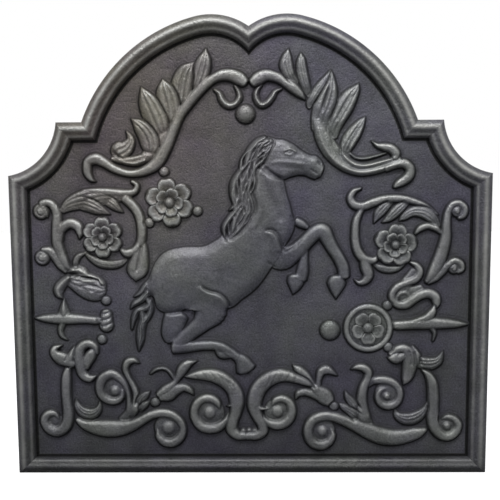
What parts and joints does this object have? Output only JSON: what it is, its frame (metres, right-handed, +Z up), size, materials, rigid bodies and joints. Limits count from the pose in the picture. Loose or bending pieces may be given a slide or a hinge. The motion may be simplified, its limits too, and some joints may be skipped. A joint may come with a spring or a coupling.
{
  "type": "fireback",
  "caption": "Arched cast-iron fireback with a moulded border and a relief of a rearing horse among scrolls, acanthus leaves and roses.",
  "frame": {"origin": "middle of the width and of the thickness, at the height of the bottom edge", "axes": "+Z up the plate, +X to the right as one faces the ornament, -Y out of the ornamented face"},
  "size_m": [0.5, 0.02, 0.48],
  "materials": {
    "field_iron": "black-leaded cast iron, fine sand-cast grain, semi-matt",
    "border_iron": "black-leaded cast iron with a slight sheen on the rounded crest",
    "horse_iron": "black-leaded cast iron, smoother on the rounded body",
    "foliage_iron": "black-leaded cast iron, rubbed lighter on the crests",
    "boss_iron": "black-leaded cast iron, rubbed lighter on the rounds"
  },
  "bodies": {
    "root": {"back_plate": "field_iron", "border_bottom": "border_iron", "border_side_right": "border_iron", "border_cove_right": "border_iron", "border_step_right": "border_iron", "border_lobe_right": "border_iron", "border_lobe_left": "border_iron", "border_step_left": "border_iron", "border_cove_left": "border_iron", "border_side_left": "border_iron", "horse_body": "horse_iron", "horse_head": "horse_iron", "horse_mane": "horse_iron", "horse_tail": "horse_iron", "foreleg_near": "horse_iron", "foreleg_far": "horse_iron", "hindleg_near": "horse_iron", "hindleg_far": "horse_iron", "acanthus_left": "foliage_iron", "acanthus_right": "foliage_iron", "crest_hook_left": "foliage_iron", "crest_hook_right": "foliage_iron", "crest_ball": "boss_iron", "rose_top": "boss_iron", "rose_left": "boss_iron", "rose_right": "boss_iron", "scroll_left": "foliage_iron", "scroll_right": "foliage_iron", "leaf_head_left": "foliage_iron", "leaf_head_right": "foliage_iron", "spindle_left": "foliage_iron", "spindle_right": "foliage_iron", "medallion": "boss_iron", "side_ball": "boss_iron", "beads": "boss_iron", "leaf_tail_left": "foliage_iron", "leaf_tail_right": "foliage_iron", "side_stem_left": "foliage_iron", "side_stem_right": "foliage_iron", "base_scroll_left": "foliage_iron", "base_scroll_right": "foliage_iron", "bud_left": "foliage_iron", "bud_right": "foliage_iron", "centre_scroll_left": "foliage_iron", "centre_scroll_right": "foliage_iron"}
  },
  "joints": []
}
